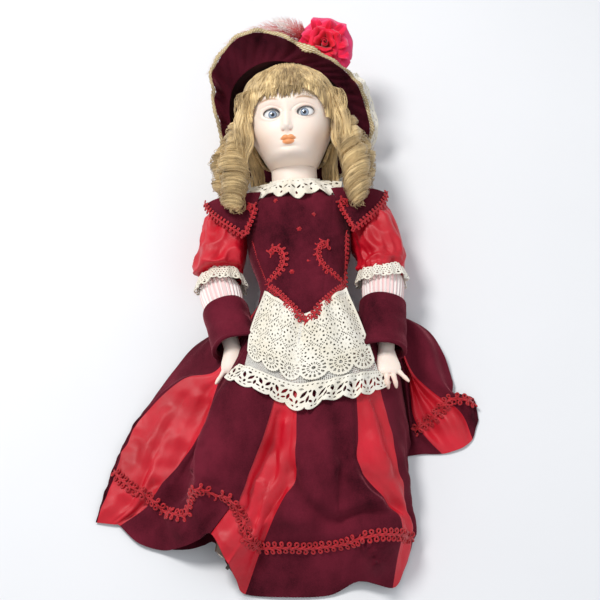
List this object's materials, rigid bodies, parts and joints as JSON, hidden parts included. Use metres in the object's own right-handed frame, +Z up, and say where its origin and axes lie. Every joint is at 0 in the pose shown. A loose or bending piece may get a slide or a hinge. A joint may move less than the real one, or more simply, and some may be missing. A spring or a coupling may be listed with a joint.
{
  "type": "porcelain doll",
  "caption": "Strung doll with a socketed porcelain head, long ringlets, a wide bonnet, jointed limbs and a gored velvet and satin dress with a lace apron, lying on its back",
  "frame": {"origin": "middle of the bounding box in x and y, at the height of the surface the doll lies on", "axes": "+Z up, away from the surface, the way the doll faces; +Y from the feet to the head; +X to the doll's left"},
  "size_m": [0.404, 0.6302, 0.1342],
  "materials": {
    "bisque": "satin",
    "eye_glass": "gloss",
    "cork": "matte",
    "hair": "satin",
    "velvet": "matte",
    "satin": "satin",
    "straw": "matte",
    "lace": "matte",
    "rose_cloth": "matte",
    "plume": "matte",
    "steel": "satin",
    "wood": "matte",
    "composition": "satin",
    "elastic": "matte",
    "leather": "satin",
    "sole": "matte",
    "striped_cotton": "matte",
    "braid": "satin"
  },
  "bodies": {
    "torso": {"torso": "composition", "arm_elastic": "elastic", "leg_elastic": "elastic", "bodice": "velvet", "shoulder_wing_right": "velvet", "shoulder_wing_left": "velvet", "collar": "lace", "waist_braid": "braid", "hook_braid_right": "braid", "hook_braid_left": "braid", "skirt_front": "velvet", "skirt_back": "velvet", "skirt_train": "velvet", "apron_upper": "lace", "apron_flounce": "lace", "hem_braid": "braid"},
    "neck": {"neck_hook": "steel", "neck_spring": "steel", "neck_button": "wood"},
    "head": {"head_shell": "bisque", "eye_right": "eye_glass", "eye_left": "eye_glass", "head_pate": "cork", "wig_cap": "hair", "wig_bangs": "hair", "ringlet_front_right": "hair", "ringlet_front_left": "hair", "ringlet_back_right": "hair", "ringlet_back_left": "hair", "bonnet_crown": "velvet", "bonnet_brim": "velvet", "bonnet_straw_edge": "straw", "bonnet_hanging_lace": "lace", "bonnet_rose": "rose_cloth", "bonnet_plume": "plume"},
    "arm_upper_right": {"upper_arm_right": "composition", "elbow_ball_right": "wood", "puff_sleeve_right": "satin", "sleeve_lace_right": "lace"},
    "arm_lower_right": {"forearm_hand_right": "bisque", "undersleeve_right": "striped_cotton", "cuff_right": "velvet"},
    "leg_upper_right": {"thigh_right": "composition", "knee_ball_right": "wood"},
    "leg_lower_right": {"lower_leg_right": "composition", "boot_upper_right": "leather", "boot_sole_right": "sole"},
    "arm_upper_left": {"upper_arm_left": "composition", "elbow_ball_left": "wood", "puff_sleeve_left": "satin", "sleeve_lace_left": "lace"},
    "arm_lower_left": {"forearm_hand_left": "bisque", "undersleeve_left": "striped_cotton", "cuff_left": "velvet"},
    "leg_upper_left": {"thigh_left": "composition", "knee_ball_left": "wood"},
    "leg_lower_left": {"lower_leg_left": "composition", "boot_upper_left": "leather", "boot_sole_left": "sole"}
  },
  "joints": [
    {"name": "neck_nod", "type": "hinge", "parent": "torso", "child": "neck", "pos_m": [0.025, 0.1215, 0.054], "axis": [1, 0, 0], "range_deg": [-12, 6], "deforming": ["ringlet_front_right", "ringlet_front_left", "ringlet_back_right", "ringlet_back_left", "bonnet_hanging_lace"]},
    {"name": "head_turn", "type": "hinge", "parent": "neck", "child": "head", "pos_m": [0.025, 0.1215, 0.054], "axis": [0, 0.9659, 0.2588], "range_deg": [-60, 60]},
    {"name": "shoulder_right", "type": "hinge", "parent": "torso", "child": "arm_upper_right", "pos_m": [-0.041, 0.1015, 0.046], "axis": [-1, 0, 0], "range_deg": [-10, 80], "deforming": ["puff_sleeve_right", "sleeve_lace_right", "shoulder_wing_right"]},
    {"name": "shoulder_left", "type": "hinge", "parent": "torso", "child": "arm_upper_left", "pos_m": [0.091, 0.1015, 0.046], "axis": [-1, 0, 0], "range_deg": [-10, 80], "deforming": ["puff_sleeve_left", "sleeve_lace_left", "shoulder_wing_left"]},
    {"name": "elbow_right", "type": "hinge", "parent": "arm_upper_right", "child": "arm_lower_right", "pos_m": [-0.067, 0.0145, 0.038], "axis": [-1, 0, 0], "range_deg": [-5, 65], "deforming": ["undersleeve_right"]},
    {"name": "elbow_left", "type": "hinge", "parent": "arm_upper_left", "child": "arm_lower_left", "pos_m": [0.115, 0.0105, 0.044], "axis": [-1, 0, 0], "range_deg": [-5, 65], "deforming": ["undersleeve_left"]},
    {"name": "hip_left", "type": "hinge", "parent": "torso", "child": "leg_upper_left", "pos_m": [0.053, -0.0495, 0.044], "axis": [-1, 0, 0], "range_deg": [0, 80], "deforming": ["skirt_front", "skirt_back", "skirt_train", "apron_upper", "apron_flounce", "hem_braid"]},
    {"name": "hip_right", "type": "hinge", "parent": "torso", "child": "leg_upper_right", "pos_m": [-0.003, -0.0495, 0.044], "axis": [-1, 0, 0], "range_deg": [0, 80]},
    {"name": "knee_left", "type": "hinge", "parent": "leg_upper_left", "child": "leg_lower_left", "pos_m": [0.061, -0.1625, 0.044], "axis": [1, 0, 0], "range_deg": [0, 75]},
    {"name": "knee_right", "type": "hinge", "parent": "leg_upper_right", "child": "leg_lower_right", "pos_m": [-0.012, -0.1625, 0.044], "axis": [1, 0, 0], "range_deg": [0, 75]}
  ],
  "couplings": [
    {"joint": "hip_right", "follows": "hip_left", "ratio": 1},
    {"joint": "knee_right", "follows": "knee_left", "ratio": 1}
  ]
}
